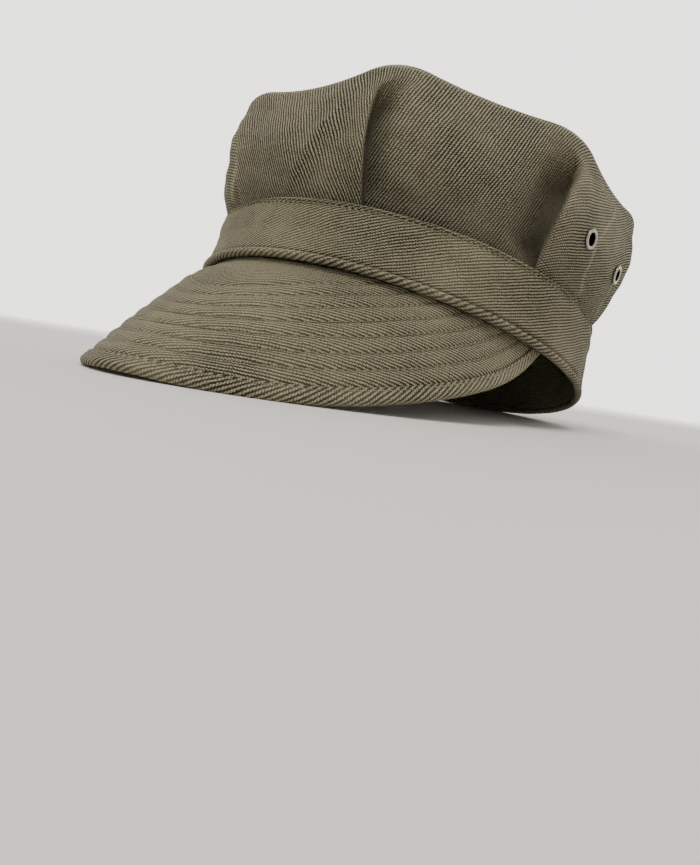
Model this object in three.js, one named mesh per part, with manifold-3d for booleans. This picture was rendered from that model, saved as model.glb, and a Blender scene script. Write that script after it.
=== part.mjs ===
// A soft patrol cap of cotton twill, lying on a flat surface as it rests by itself.
// The head opening faces down. It stands on the back of its band and on the two low points of its visor.
// Millimetres. +Z is up, -Y is the front, +X is the wearer's left.
import * as THREE from 'three';
import * as BufferGeometryUtils from 'three/addons/utils/BufferGeometryUtils.js';
import Module from 'manifold-3d';

const wasm = await Module();
wasm.setup();

// Driving dimensions, measured on the outside of the cloth with the band's lower edge as the base.
const gap = 0.3; // clearance between two pieces that touch

const bandHalfLength = 104; // lower edge of the band, middle to front
const bandHalfWidth = 86.8; // lower edge of the band, middle to side
const bandFrontRise = 14.4; // how far the lower edge climbs from the back to the front
const bandHeightFront = 25;
const bandHeightBack = 34;
const bandLeanFront = 4.8; // how far the upper edge stands in from the lower one, front and back
const bandLeanSide = 0.9;
const bandWall = 2;

const weltRadius = 1.7; // the corded roll along the lower edge of the band
const weltInset = 1.1; // middle of the roll inside the face of the band

const crownHalfLength = 109.5; // middle of the flat top to its front corners
const crownHalfWidth = 92.5;
const crownShift = 2.1; // middle of the flat top behind the middle of the band
const crownHeightFront = 91;
const crownHeightBack = 98.5;
const crownWall = 1.6;
const crownTuck = 7; // how far the crown reaches down inside the band
const crownEdgeRadius = 6; // the soft turn from the side into the flat top
const crownTopSag = 4; // the middle of the top below its edge
const crownEdgeSag = 4.5; // the edge of the top between two corners below a straight line
const panelBulge = 5; // how far a side panel swells out between the band and the top
const cornerTurn = 7; // half of the angle over which a corner is rounded
const pleatDepth = 7; // how deep the cloth dives beside a folded edge
const pleatLap = 1.2; // how far the folded edge stands out over it
const pleatDrift = 2.5; // angle by which a folded edge bows toward its own panel

const visorLength = 74.2; // along the visor, from the band to the front edge
const visorHalfAngle = 77.5; // the visor's ends, round the band from the front
const visorSlope = 48; // angle of the visor below the band's base
const visorDip = 4.2; // how far the outer edge is pulled in on both sides of the middle
const visorSwell = 1.5; // how far the middle of the visor bows up between the band and the edge
const visorThick = 2.4;
const visorMargin = 1.5; // thickness of the part that lies inside the binding
const visorSeam = 2.5; // how far the visor reaches up behind the roll
const visorShoulder = 0.6; // the step from the thin margin up to the full thickness
const settleFront = 12; // how far from the band the visor comes out to its own bend
const settleSide = 40;

const bindingWidth = 5.5; // the strip of cloth folded over the outer edge
const bindingWall = 0.8;

const eyeletHole = 2.4; // radii of the metal vents
const eyeletBarrel = 2.9;
const eyeletFlange = 4.1;
const eyeletSheet = 0.5; // thickness of their metal
const eyeletSeat = 0.5; // from the cloth at the middle of a vent to its flanges, as the cloth is curved
const restPress = 0.4; // how much the soft edges flatten where the cap rests

// How finely the shapes are drawn.
const bandStations = 60;
const visorStations = 48;
const weltSides = 8;
const eyeletSides = 14;
const drillSides = 12;
const cornerSamples = 9;

// The corners of the top. Reach and rise are shares of the crown's half sizes and height. Bulge is the
// share of panelBulge in the panel after the corner, and that panel lies over its neighbours or under.
const corners = [
  { turn: -22.5, reach: 1.0, rise: 0.965, bulge: 0.9, over: true },
  { turn: 22.5, reach: 1.0, rise: 1.025, bulge: 1.0, over: false },
  { turn: 67.5, reach: 1.0, rise: 1.01, bulge: 1.0, over: true },
  { turn: 112.5, reach: 1.02, rise: 1.0, bulge: 0.8, over: false },
  { turn: 157.5, reach: 1.0, rise: 0.99, bulge: 1.0, over: true },
  { turn: 202.5, reach: 1.0, rise: 1.0, bulge: 1.1, over: false },
  { turn: 247.5, reach: 1.01, rise: 1.0, bulge: 1.0, over: true },
  { turn: 292.5, reach: 1.01, rise: 0.98, bulge: 1.15, over: false },
];

// Columns across a panel: the place as a share of its width, then shares of pleatLap or pleatDepth.
const overColumns = [
  { across: 0, push: 1 }, { across: 0.06, push: 0.6 }, { across: 0.14, push: 0 },
  { across: 0.3, push: 0 }, { across: 0.5, push: 0 }, { across: 0.7, push: 0 },
  { across: 0.86, push: 0 }, { across: 0.94, push: 0.6 }, { across: 1, push: 1 },
];
const underColumns = [
  { across: 0.05, push: 1 }, { across: 0.14, push: 0.62 }, { across: 0.25, push: 0.22 },
  { across: 0.4, push: 0 }, { across: 0.6, push: 0 },
  { across: 0.75, push: 0.22 }, { across: 0.86, push: 0.62 }, { across: 0.95, push: 1 },
];
const wallRows = [0, 0.05, 0.13, 0.24, 0.36, 0.48, 0.6, 0.72, 0.83, 0.92, 1]; // shares of the wall's height
const edgeRows = [30, 60, 90]; // angles round the soft turn into the top
const topRows = [0.82, 0.6, 0.36, 0.16]; // shares of the way out from the middle of the top
const visorRows = [0, 0.2, 0.4, 0.6, 0.8, 1]; // shares of the way from the binding back to the band
const pleatOpens = 0.25; // a pleat deepens over this lowest share of the wall's height
const pleatCloses = 0.3; // and flattens out over this highest share

// Upper half of the folded strip from its edge to the fold. Inside is how far in from the fold, as a share
// of half the strip's thickness for the outer face and of its cloth for the inner one, and height is a
// share of the face's own height.
const foldOuter = [{ inside: 0.7, height: 1 }, { inside: 0.2, height: 0.6 }, { inside: 0, height: 0 }];
const foldInner = [{ inside: 1.6, height: 1 }, { inside: 1.1, height: 0.6 }, { inside: 1, height: 0 }];

// The vents: the panel, the place across it, and the share of the wall's height.
const vents = [
  { name: 'eyelet_left_front', panel: 2, across: 0.24, up: 0.44 },
  { name: 'eyelet_left_rear', panel: 2, across: 0.77, up: 0.44 },
  { name: 'eyelet_right_front', panel: 6, across: 0.76, up: 0.44 },
  { name: 'eyelet_right_rear', panel: 6, across: 0.23, up: 0.44 },
];

const rad = THREE.MathUtils.degToRad;
const mix = THREE.MathUtils.lerp;
const ease = (x) => THREE.MathUtils.smoothstep(x, 0, 1);
const vec = (x, y, z) => new THREE.Vector3(x, y, z);
const frontShare = (turn) => (1 + Math.cos(rad(turn))) / 2; // 1 at the front, 0 at the back
const outward = (turn) => vec(Math.sin(rad(turn)), -Math.cos(rad(turn)), 0);

// Meshes from rings of points.

function meshSolid(points, faces) {
  const geometry = new THREE.BufferGeometry();
  const values = points.flatMap((p) => [p.x, p.y, p.z]);
  const outwardFaces = volume(points, faces) < 0 ? faces.map(([a, b, c]) => [a, c, b]) : faces;
  geometry.setAttribute('position', new THREE.Float32BufferAttribute(values, 3));
  geometry.setIndex(outwardFaces.flat());
  return geometry;
}

function volume(points, faces) {
  const signed = ([a, b, c]) => points[a].dot(points[b].clone().cross(points[c]));
  return faces.reduce((sum, face) => sum + signed(face), 0);
}

// Joins rings that all have the same number of points. Closed rings of rings make a torus, pole points
// close both ends like a globe, and otherwise each end gets a cap laddered between its two halves.
function loft(rings, { closed = false, poles = null } = {}) {
  const count = rings[0].length;
  const points = rings.flat();
  const faces = [];
  const last = rings.length - 1;
  const quad = (a, b, c, d) => faces.push([a, b, c], [a, c, d]);
  for (let i = 0; i < (closed ? last + 1 : last); i += 1) {
    const here = i * count;
    const next = ((i + 1) % rings.length) * count;
    for (let j = 0; j < count; j += 1) {
      const k = (j + 1) % count;
      quad(here + j, here + k, next + k, next + j);
    }
  }
  if (poles) {
    points.push(poles[0], poles[1]);
    for (let j = 0; j < count; j += 1) {
      const k = (j + 1) % count;
      faces.push([points.length - 2, k, j]);
      faces.push([points.length - 1, last * count + j, last * count + k]);
    }
  } else if (!closed) {
    for (let j = 0; j < count / 2 - 1; j += 1) {
      const mirror = count - 1 - j;
      quad(j, mirror, mirror - 1, j + 1);
      const end = last * count;
      quad(end + j, end + j + 1, end + mirror - 1, end + mirror);
    }
  }
  return meshSolid(points, faces);
}

// Band. A point on it by the angle, the share of its height and the depth inside its face.

function bandPoint(turn, up, inset = 0) {
  const lean = 1 - (1 - up) ** 2;
  const lengthways = bandHalfLength - bandLeanFront * lean;
  const sideways = bandHalfWidth - bandLeanSide * lean;
  const height = mix(bandHeightBack, bandHeightFront, frontShare(turn));
  const foot = bandFrontRise * frontShare(turn);
  const face = vec(sideways * Math.sin(rad(turn)), -lengthways * Math.cos(rad(turn)), foot + height * up);
  return face.addScaledVector(outward(turn), -inset);
}

function bandShare(turn, rise) {
  return rise / mix(bandHeightBack, bandHeightFront, frontShare(turn));
}

function turns(count) {
  return Array.from({ length: count }, (_, i) => (360 * i) / count);
}

function makeBand() {
  const rings = turns(bandStations).map((turn) => {
    const low = bandShare(turn, 2 * weltRadius + gap);
    const soft = bandShare(turn, bandWall / 2);
    return [
      bandPoint(turn, low),
      bandPoint(turn, mix(low, 1, 1 / 3)),
      bandPoint(turn, mix(low, 1, 2 / 3)),
      bandPoint(turn, 1 - soft / 2),
      bandPoint(turn, 1, bandWall / 4),
      bandPoint(turn, 1, bandWall),
      bandPoint(turn, mix(low, 1, 1 / 2), bandWall),
      bandPoint(turn, low, bandWall),
    ];
  });
  return loft(rings, { closed: true });
}

// Roll along the band's lower edge, a cord covered with cloth cut on the bias.

function weltMiddle(turn) {
  return bandPoint(turn, 0, weltInset).add(vec(0, 0, weltRadius));
}

function makeWelt() {
  const rings = turns(bandStations).map((turn) => turns(weltSides).map((angle) => {
    const a = rad(angle + 180 / weltSides);
    const point = weltMiddle(turn).addScaledVector(outward(turn), weltRadius * Math.cos(a));
    return point.add(vec(0, 0, weltRadius * Math.sin(a)));
  }));
  return loft(rings, { closed: true });
}

// Crown. One piece of cloth, folded over at eight corners and pleated down to the band.

function cornerPoint(index) {
  const corner = corners[(index + corners.length) % corners.length];
  const front = frontShare(corner.turn);
  const height = mix(crownHeightBack, crownHeightFront, front) * corner.rise - crownEdgeRadius;
  return vec(
    crownHalfWidth * corner.reach * Math.sin(rad(corner.turn)),
    crownShift - crownHalfLength * corner.reach * Math.cos(rad(corner.turn)),
    height,
  );
}

function panelAt(turn) {
  const span = 360 / corners.length;
  const place = (turn - corners[0].turn) / span;
  const index = Math.floor(place);
  return { index: (index + corners.length) % corners.length, across: place - index };
}

// The edge of the top: straight sagging runs between the corners, averaged over cornerTurn to round them.
function edgePoint(turn) {
  const sum = vec(0, 0, 0);
  for (let i = 0; i < cornerSamples; i += 1) {
    const { index, across } = panelAt(turn + cornerTurn * ((2 * i) / (cornerSamples - 1) - 1));
    const run = cornerPoint(index).lerp(cornerPoint(index + 1), across);
    run.z -= crownEdgeSag * 4 * across * (1 - across);
    sum.add(run);
  }
  return sum.divideScalar(cornerSamples);
}

// A point of the side wall, in a panel, across it and up it, pushed in by a pleat and by the cloth's depth.
function wallPoint(panel, across, up, push = 0, depth = 0) {
  const { turn: start, bulge, over } = corners[panel];
  const bow = pleatDrift * Math.sin(Math.PI * up) * (1 - 2 * across) * (over ? 1 : -1);
  const turn = start + (360 / corners.length) * across + bow;
  const foot = bandPoint(turn, 1, bandWall + gap).add(vec(0, 0, gap));
  const open = ease(up / pleatOpens) * (1 - ease((up - 1 + pleatCloses) / pleatCloses));
  const pleat = open * push * (over ? pleatLap : -pleatDepth);
  const swell = panelBulge * bulge * Math.sin(Math.PI * up);
  return foot.lerp(edgePoint(turn), up).addScaledVector(outward(turn), swell + pleat - depth);
}

function topMiddle(depth) {
  const height = mix(crownHeightBack, crownHeightFront, 0.5) - crownTopSag;
  return vec(0, crownShift, height - depth);
}

// The rings of one face of the crown, from the hem inside the band up to the last ring of the top.
function crownRings(depth) {
  const span = 360 / corners.length;
  const columns = corners.flatMap((corner, panel) => {
    const shares = corner.over ? overColumns : underColumns;
    return shares.map((column) => ({ panel, ...column, turn: corner.turn + span * column.across }));
  });
  const hem = columns.map(({ turn }) => {
    const up = 1 - bandShare(turn, crownTuck);
    return bandPoint(turn, up, bandWall + gap + depth);
  });
  const wall = wallRows.map((up) => columns.map((c) => wallPoint(c.panel, c.across, up, c.push, depth)));
  const edge = edgeRows.map((angle) => columns.map(({ turn }) => {
    const point = edgePoint(turn);
    point.addScaledVector(outward(turn), (crownEdgeRadius - depth) * Math.cos(rad(angle)) - crownEdgeRadius);
    return point.add(vec(0, 0, (crownEdgeRadius - depth) * Math.sin(rad(angle))));
  }));
  const rim = edge[edge.length - 1];
  const top = topRows.map((share) => rim.map((point) => {
    const level = topMiddle(depth).lerp(point, share);
    level.z = mix(topMiddle(depth).z, point.z, share * share);
    return level;
  }));
  return [hem, ...wall, ...edge, ...top];
}

function manifoldOf(geometry) {
  const bare = geometry.clone();
  bare.deleteAttribute('normal');
  bare.deleteAttribute('uv');
  const merged = BufferGeometryUtils.mergeVertices(bare);
  return new wasm.Manifold(new wasm.Mesh({
    numProp: 3,
    vertProperties: new Float32Array(merged.attributes.position.array),
    triVerts: new Uint32Array(merged.index.array),
  }));
}

function geometryOf(manifold) {
  const mesh = manifold.getMesh();
  const geometry = new THREE.BufferGeometry();
  geometry.setAttribute('position', new THREE.BufferAttribute(new Float32Array(mesh.vertProperties), 3));
  geometry.setIndex(new THREE.BufferAttribute(new Uint32Array(mesh.triVerts), 1));
  return geometry;
}

// Where a vent sits on the wall, turned so that its Y axis points straight out of the cloth.
function ventPlace({ panel, across, up }) {
  const step = 0.02;
  const point = wallPoint(panel, across, up);
  const along = wallPoint(panel, across + step, up).sub(wallPoint(panel, across - step, up));
  const rise = wallPoint(panel, across, up + step).sub(wallPoint(panel, across, up - step));
  const normal = along.cross(rise).normalize();
  return { point, turn: new THREE.Quaternion().setFromUnitVectors(vec(0, 1, 0), normal) };
}

function makeCrown() {
  const shell = loft([...crownRings(0).reverse(), ...crownRings(crownWall)], {
    poles: [topMiddle(0), topMiddle(crownWall)],
  });
  const drillRadius = eyeletBarrel + gap;
  const drillLength = 8 * crownWall;
  const cut = vents.reduce((body, vent) => {
    const { point, turn } = ventPlace(vent);
    const drill = new THREE.CylinderGeometry(drillRadius, drillRadius, drillLength, drillSides);
    drill.applyQuaternion(turn).translate(point.x, point.y, point.z);
    return body.subtract(manifoldOf(drill));
  }, manifoldOf(shell));
  return geometryOf(cut);
}

// Eyelets. A turned-over metal ring clinched through the cloth.

function makeEyelet() {
  const front = eyeletSeat + eyeletSheet;
  const back = -(crownWall + eyeletSeat);
  const bead = eyeletSheet / 2;
  const profile = [
    [eyeletHole, front - bead],
    [eyeletHole, back - bead],
    [eyeletFlange - bead, back - eyeletSheet],
    [eyeletFlange - bead, back],
    [eyeletBarrel, back],
    [eyeletBarrel, eyeletSeat],
    [eyeletFlange, eyeletSeat],
    [eyeletFlange - bead, front + bead / 2],
    [eyeletHole + bead, front + bead],
    [eyeletHole, front - bead],
  ];
  return new THREE.LatheGeometry(profile.map(([r, y]) => new THREE.Vector2(r, y)), eyeletSides);
}

// Visor. A stiff sheet bent one way only, so that it can be laid out flat. Along it runs a straight
// direction that slopes down to the front, and across it follows the band's oval.

const visorRun = vec(0, -Math.cos(rad(visorSlope)), -Math.sin(rad(visorSlope)));
const visorLift = vec(0, -Math.sin(rad(visorSlope)), Math.cos(rad(visorSlope)));

function bentPoint(turn, reach) {
  const dip = (visorDip * Math.sin(Math.PI * sideShare(turn)) ** 2 * Math.max(reach, 0)) / visorLength;
  return bandPoint(turn, 0).addScaledVector(visorRun, reach).addScaledVector(visorLift, -dip);
}

function sideShare(turn) {
  return Math.min(Math.abs(turn) / visorHalfAngle, 1); // 0 in the middle of the visor, 1 at its ends
}

function bentNormal(turn, reach) {
  const step = 0.5;
  const across = bentPoint(turn + step, reach).sub(bentPoint(turn - step, reach));
  const along = bentPoint(turn, reach + step).sub(bentPoint(turn, reach - step));
  return along.cross(across).normalize();
}

// The same surface passed just inside the roll at the band, with the binding's thickness to spare.
function visorPoint(turn, reach, height) {
  const side = sideShare(turn) ** 2;
  const roll = weltMiddle(turn).sub(bandPoint(turn, 0)).dot(bentNormal(turn, 0));
  const tucked = roll - weltRadius - gap - visorMargin / 2 - gap - bindingWall;
  const settled = ease(reach / mix(settleFront, settleSide, side));
  const seat = mix(tucked, -visorThick / 2, settled);
  const out = THREE.MathUtils.clamp(reach / visorLength, 0, 1);
  const swell = visorSwell * Math.sin(Math.PI * out) * (1 - side);
  return bentPoint(turn, reach).addScaledVector(bentNormal(turn, reach), height + seat + swell);
}

// The flat pattern: how far round the bend an angle lies, and back again.
const flatEnd = 120; // the pattern runs on past the visor's ends, to this angle on both sides
const flatTurns = Array.from({ length: 2 * flatEnd + 1 }, (_, i) => i - flatEnd);
const flatWidths = flatTurns.reduce((widths, turn, i) => {
  if (i === 0) return [0];
  const chord = bandPoint(turn, 0).sub(bandPoint(flatTurns[i - 1], 0)).cross(visorRun).length();
  return [...widths, widths[i - 1] + chord];
}, []);

function interpolate(value, from, to) {
  const next = Math.min(Math.max(from.findIndex((v) => v >= value), 1), from.length - 1);
  return mix(to[next - 1], to[next], (value - from[next - 1]) / (from[next] - from[next - 1]));
}

function toPattern(turn, reach) {
  const width = interpolate(turn, flatTurns, flatWidths);
  return new THREE.Vector2(width, bandPoint(turn, 0).dot(visorRun) + reach);
}

function fromPattern(flat) {
  const turn = interpolate(flat.x, flatWidths, flatTurns);
  return { turn, reach: flat.y - bandPoint(turn, 0).dot(visorRun) };
}

// The outer edge in the pattern, an ellipse from one end of the visor to the other, and a line inside it.
function edgeFlat(station) {
  const a = rad(mix(-90, 90, station));
  return toPattern(visorHalfAngle * Math.sin(a), (visorLength + visorSeam) * Math.cos(a) - visorSeam);
}

function insideEdge(station, distance) {
  const step = 0.004;
  const ahead = edgeFlat(Math.min(station + step, 1));
  const run = ahead.sub(edgeFlat(Math.max(station - step, 0))).normalize();
  return edgeFlat(station).add(new THREE.Vector2(run.y, -run.x).multiplyScalar(distance));
}

function onVisor(flat, height) {
  const { turn, reach } = fromPattern(flat);
  return visorPoint(turn, reach, height);
}

const stations = Array.from({ length: visorStations + 1 }, (_, i) => i / visorStations);

function makeVisor() {
  const endTurn = visorHalfAngle - THREE.MathUtils.radToDeg((bindingWidth + visorThick) / bandHalfWidth);
  const rings = stations.map((station) => {
    const seam = toPattern(endTurn * Math.sin(rad(mix(-90, 90, station))), -visorSeam);
    const shoulder = insideEdge(station, bindingWidth + gap + visorShoulder);
    const rows = [
      { flat: insideEdge(station, bindingWall + gap), half: visorMargin / 2 },
      { flat: insideEdge(station, bindingWidth + gap), half: visorMargin / 2 },
      ...visorRows.map((share) => ({ flat: shoulder.clone().lerp(seam, share), half: visorThick / 2 })),
    ];
    const over = rows.map(({ flat, half }) => onVisor(flat, half));
    const under = rows.map(({ flat, half }) => onVisor(flat, -half)).reverse();
    return [...over, ...under];
  });
  return loft(rings);
}

// Binding. A bias strip folded over the visor's outer edge.

function makeBinding() {
  const inner = visorMargin / 2 + gap;
  const outer = inner + bindingWall;
  const face = (shares, scale, height) => {
    const turned = shares.map((p) => ({ inside: scale * p.inside, height: height * p.height }));
    const upper = [{ inside: bindingWidth, height }, ...turned];
    const lower = upper.slice(0, -1).reverse();
    return [...upper, ...lower.map((p) => ({ inside: p.inside, height: -p.height }))];
  };
  const section = [...face(foldOuter, outer, outer), ...face(foldInner, bindingWall, inner).reverse()];
  const rings = stations.map((station) => section.map((p) => onVisor(insideEdge(station, p.inside), p.height)));
  return loft(rings);
}

// Laying the cap down: the floor touches the back of the roll and the visor's lowest points.

const binding = makeBinding();
const welt = makeWelt();

function pointsOf(geometry) {
  const { position } = geometry.attributes;
  return Array.from({ length: position.count }, (_, i) => new THREE.Vector3().fromBufferAttribute(position, i));
}

const heelward = (p) => p.y - 2 * p.z; // greatest at the low back of the roll
const heel = pointsOf(welt).reduce((best, p) => (heelward(p) > heelward(best) ? p : best));
const restTilt = Math.max(...pointsOf(binding).map((p) => Math.atan2(heel.z - p.z, heel.y - p.y)));
const floorNormal = vec(0, -Math.sin(restTilt), Math.cos(restTilt));

function pressed(geometry) {
  const points = pointsOf(geometry);
  points.forEach((p, i) => {
    const height = p.clone().sub(heel).dot(floorNormal);
    if (height < restPress) p.addScaledVector(floorNormal, restPress - height);
    geometry.attributes.position.setXYZ(i, p.x, p.y, p.z);
  });
  return geometry;
}

const twill = { color: 0x5e5c46, roughness: 0.92, metalness: 0 };
const cap = new THREE.Group();
const pieces = [
  { name: 'crown', geometry: makeCrown(), finish: twill },
  { name: 'band', geometry: makeBand(), finish: twill },
  { name: 'band_welt', geometry: pressed(welt), finish: { ...twill, color: 0x646249 } },
  { name: 'visor', geometry: makeVisor(), finish: twill },
  { name: 'visor_binding', geometry: pressed(binding), finish: { ...twill, color: 0x646249 } },
];
pieces.forEach(({ name, geometry, finish }) => {
  const mesh = new THREE.Mesh(geometry, new THREE.MeshStandardMaterial(finish));
  mesh.name = name;
  cap.add(mesh);
});
vents.forEach((vent) => {
  const metal = new THREE.MeshStandardMaterial({ color: 0xb9b6a8, roughness: 0.35, metalness: 1 });
  const mesh = new THREE.Mesh(makeEyelet(), metal);
  const { point, turn } = ventPlace(vent);
  mesh.name = vent.name;
  mesh.position.copy(point);
  mesh.quaternion.copy(turn);
  cap.add(mesh);
});

// The origin is on the floor under the middle of the whole cap.
cap.rotation.x = -restTilt;
cap.updateMatrixWorld(true);
const box = new THREE.Box3().setFromObject(cap, true);
cap.position.set(-(box.min.x + box.max.x) / 2, -(box.min.y + box.max.y) / 2, -box.min.z);

const group = new THREE.Group();
group.add(cap);

export default group;
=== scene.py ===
import bmesh
import bpy
import numpy as np
from mathutils import Matrix


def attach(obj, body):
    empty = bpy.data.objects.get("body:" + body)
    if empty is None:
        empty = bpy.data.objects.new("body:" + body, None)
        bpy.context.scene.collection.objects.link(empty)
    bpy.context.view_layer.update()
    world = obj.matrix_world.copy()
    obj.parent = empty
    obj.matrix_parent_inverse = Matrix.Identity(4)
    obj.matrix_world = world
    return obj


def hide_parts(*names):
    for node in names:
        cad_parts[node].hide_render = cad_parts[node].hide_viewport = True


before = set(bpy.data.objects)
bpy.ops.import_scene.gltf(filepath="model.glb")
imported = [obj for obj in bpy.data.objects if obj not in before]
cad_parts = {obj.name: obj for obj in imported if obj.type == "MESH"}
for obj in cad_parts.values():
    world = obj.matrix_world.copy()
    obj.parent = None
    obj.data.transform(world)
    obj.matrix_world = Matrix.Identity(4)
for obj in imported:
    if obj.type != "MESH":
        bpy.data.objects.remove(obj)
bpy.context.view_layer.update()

# Band. A flat strip of heavy cotton twill, turned in along its top edge and topstitched there over the
# raw edge of the crown. Its ends are joined by a plain seam at the back.
# All sizes are millimetres on the sewn cap, with the band's lower edge as the base and -Y to the front.
band_half_length = 104
band_half_width = 86.8
band_front_rise = 14.4
band_height_front = 25
band_height_back = 34
band_lean_front = 4.8
band_lean_side = 0.9
band_wall = 2
rest_tilt = np.radians(9.7392)
rest_place = np.array([-0.0558, 20.5451, 16.9894])
welt_radius = 1.7
gap = 0.3


def laid(points):
    """The sewn cap's points in millimetres, turned to the way the cap lies on the floor, in metres."""
    x, y, z = np.moveaxis(points, -1, 0)
    low = z * np.cos(rest_tilt) - y * np.sin(rest_tilt) + rest_place[2]
    forward = y * np.cos(rest_tilt) + z * np.sin(rest_tilt) + rest_place[1]
    return np.stack([x + rest_place[0], forward, np.maximum(low, 0)], -1) / 1000


def mix(a, b, share):
    return a + (b - a) * share


def ease(share):
    share = np.clip(share, 0, 1)
    return share * share * (3 - 2 * share)


def outward(turn):
    a = np.radians(turn)
    return np.stack([np.sin(a), -np.cos(a), np.zeros_like(a)], -1)


def front_share(turn):
    return (1 + np.cos(np.radians(turn))) / 2


def band_height(turn):
    return mix(band_height_back, band_height_front, front_share(turn))


def band_point(turn, up, inset=0.0):
    """A point of the band by its angle from the front, the share of its height and how deep it lies."""
    lean = 1 - (1 - up) ** 2
    across = (band_half_width - band_lean_side * lean) * np.sin(np.radians(turn))
    along = -(band_half_length - band_lean_front * lean) * np.cos(np.radians(turn))
    point = np.stack([across, along, band_front_rise * front_share(turn) + band_height(turn) * up], -1)
    return point - outward(turn) * np.asarray(inset)[..., None]


def soft_noise(place, size, seed):
    """Smooth hills and hollows from -1 to 1, about as far apart as size, the same on every run."""
    rng = np.random.default_rng(seed)
    total = 0.0
    for _ in range(9):
        way = rng.normal(size=len(place))
        way *= 2 * np.pi / (size * rng.uniform(0.7, 1.6)) / np.linalg.norm(way)
        phase = rng.uniform(0, 2 * np.pi)
        total = total + np.sin(sum(w * coordinate for w, coordinate in zip(way, place)) + phase)
    return total / 4.5


def round_place(turn, rise):
    """A place on the round wall for the noise, so that it meets itself all the way round."""
    a = np.radians(turn)
    radius = 98
    return radius * np.sin(a), radius * np.cos(a), rise


def wales(x, y, angle):
    """Cloth coordinates turned so that the first runs along the ribs of the twill."""
    a = np.radians(angle)
    return np.stack([x * np.cos(a) + y * np.sin(a), y * np.cos(a) - x * np.sin(a)], -1)


def grid_quads(rows, columns):
    """The row and column of each corner of a grid's quads, and the quads by the number of the point."""
    r, c = np.meshgrid(np.arange(rows - 1), np.arange(columns - 1), indexing="ij")
    corners = [(r, c), (r, c + 1), (r + 1, c + 1), (r + 1, c)]
    return corners, np.stack([a * columns + b for a, b in corners], -1).reshape(-1, 4)


def sewn_mesh(name, points, cloth, material, slot, *nodes, wear_and_shade=0.0):
    """A piece from a grid of points. Its UV map is the flat cloth in mm, and wear_and_shade marks rubbed
    places where it is above nothing and painted shade where it is below.
    """
    rows, columns = points.shape[:2]
    corners, quads = grid_quads(rows, columns)
    mesh = bpy.data.meshes.new(name)
    mesh.from_pydata(laid(points).reshape(-1, 3).tolist(), [], quads.tolist())
    ribs = mesh.uv_layers.new(name="cloth")
    ribs.data.foreach_set("uv", np.stack([cloth[a, b] for a, b in corners], 2).astype(np.float32).ravel())
    # The layer also carries painted shade, as values below nothing.
    rubbed = mesh.attributes.new("wear_and_shade", "FLOAT", "POINT")
    rubbed.data.foreach_set("value", np.broadcast_to(wear_and_shade, (rows, columns)).astype(np.float32).ravel())
    return dressed(name, mesh, material, slot, *nodes)


def dressed(name, mesh, material, slot, *nodes):
    """Welds a mesh, turns its faces outward and makes it a piece of the cap."""
    shaped = bmesh.new()
    shaped.from_mesh(mesh)
    bmesh.ops.remove_doubles(shaped, verts=shaped.verts, dist=2e-6)
    bmesh.ops.dissolve_degenerate(shaped, edges=shaped.edges, dist=1e-7)
    if shaped.calc_volume(signed=True) < 0:
        bmesh.ops.reverse_faces(shaped, faces=shaped.faces)
    shaped.to_mesh(mesh)
    shaped.free()
    mesh.shade_smooth()
    mesh.materials.append(material)
    piece = bpy.data.objects.new(name, mesh)
    bpy.context.scene.collection.objects.link(piece)
    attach(piece, "root")
    if nodes:
        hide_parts(*nodes)
    return piece


def linear(hex_colour):
    """An sRGB hex colour as the linear RGBA that the shader works in."""
    channels = [int(hex_colour[i:i + 2], 16) / 255 for i in (1, 3, 5)]
    bent = [c / 12.92 if c <= 0.04045 else ((c + 0.055) / 1.055) ** 2.4 for c in channels]
    return (*bent, 1.0)


def add(material, kind, inputs=None, **settings):
    """Adds a shader node and returns its outputs. Inputs are values or the outputs that feed them."""
    tree = material.node_tree
    node = tree.nodes.new("ShaderNode" + kind)
    for key, value in settings.items():
        setattr(node, key, value)
    for key, value in (inputs or {}).items():
        if isinstance(value, bpy.types.NodeSocket):
            tree.links.new(value, node.inputs[key])
        else:
            node.inputs[key].default_value = value
    return node.outputs


def blank_material(name):
    material = bpy.data.materials.new(name)
    material.use_nodes = True
    material.node_tree.nodes.clear()
    return material


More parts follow.
